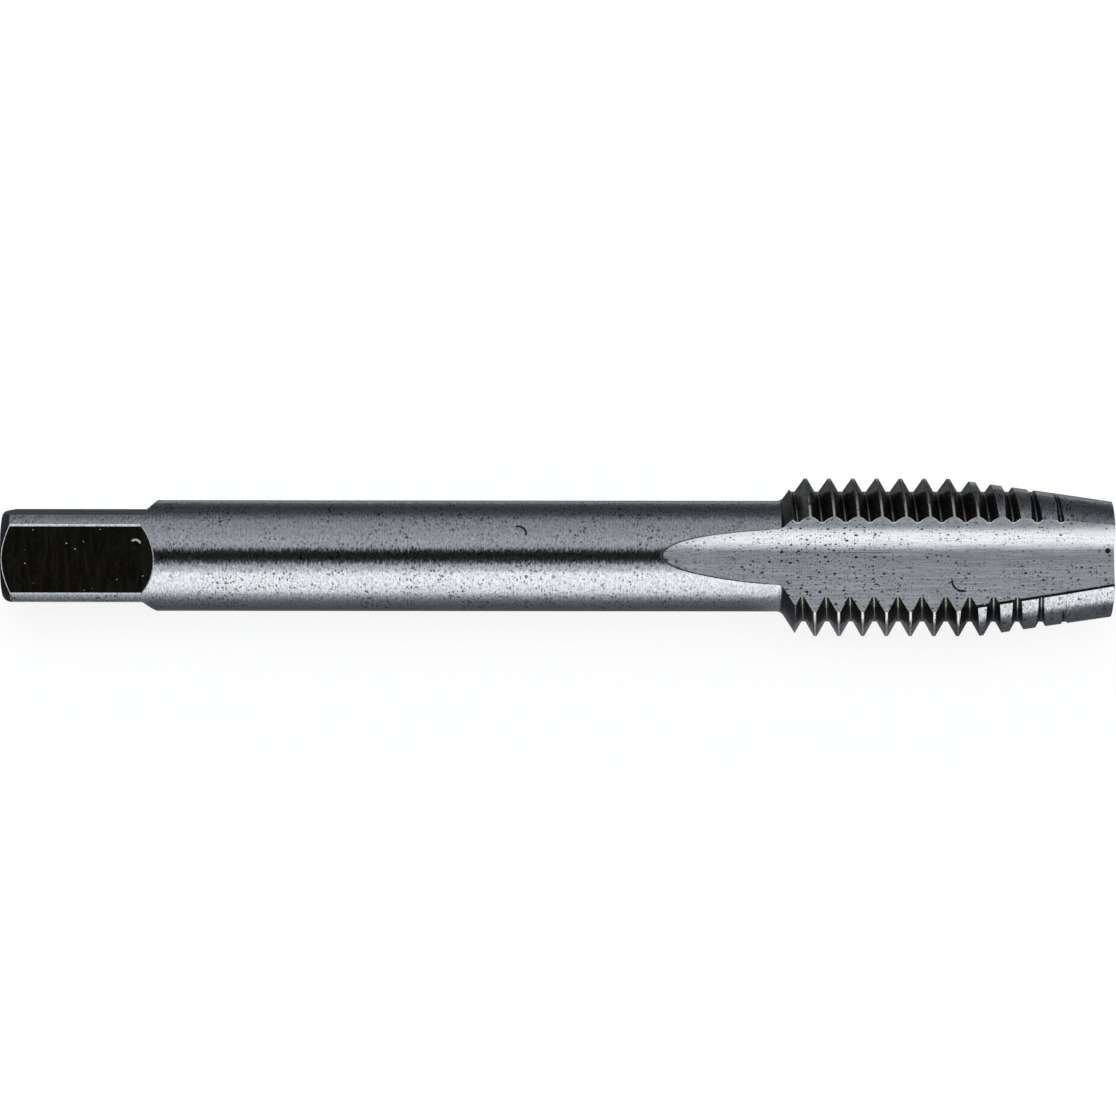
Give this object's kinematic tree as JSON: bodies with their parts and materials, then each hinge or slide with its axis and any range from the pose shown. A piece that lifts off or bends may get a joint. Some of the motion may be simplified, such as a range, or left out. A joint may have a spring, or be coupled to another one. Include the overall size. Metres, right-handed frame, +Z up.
{
  "type": "thread tap",
  "caption": "Straight-fluted hand tap for cutting internal metric threads, with a square drive end and a tapered lead.",
  "frame": {"origin": "on the surface that the tool lies on, below the middle of its box", "axes": "+X along the tool from the driving square to the cutting tip, which rises 0.7 degrees; +Z up, as it rests on two lands and a corner of its square"},
  "size_m": [0.07, 0.01, 0.0092],
  "materials": {
    "tool_steel": "ground high-speed steel, bright, with fine grinding lines and darkened thread flanks"
  },
  "bodies": {
    "root": {"thread_tap": "tool_steel"}
  },
  "joints": []
}
